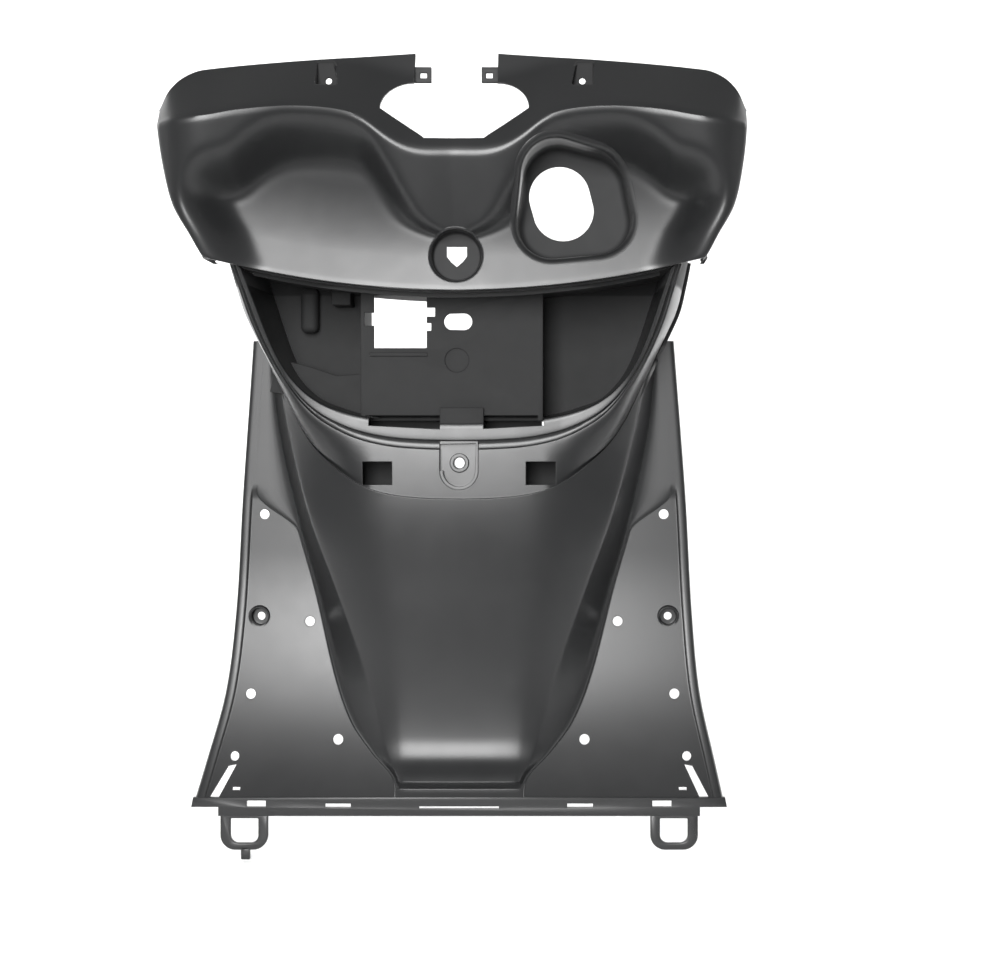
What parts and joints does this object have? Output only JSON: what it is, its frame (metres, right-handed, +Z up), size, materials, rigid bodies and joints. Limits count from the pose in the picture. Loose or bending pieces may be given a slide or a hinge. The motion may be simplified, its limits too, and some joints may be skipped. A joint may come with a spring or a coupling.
{
  "type": "scooter inner console panel",
  "caption": "Black moulded inner leg shield of a scooter: foot panel with raised tunnel, open glove box pod and winged cowl with steering column cut-out and switch recess.",
  "frame": {"origin": "centre of the centre screw's seat face, on the rider's side", "axes": "+Z up the leg panels, -Y towards the rider (the way the centre screw comes out), +X to the panel's right as the rider sees it"},
  "size_m": [0.4334, 0.1594, 0.62],
  "materials": {
    "panel_plastic": "satin black moulded polypropylene with a fine grain"
  },
  "bodies": {
    "root": {"console_panel": "panel_plastic"}
  },
  "joints": []
}
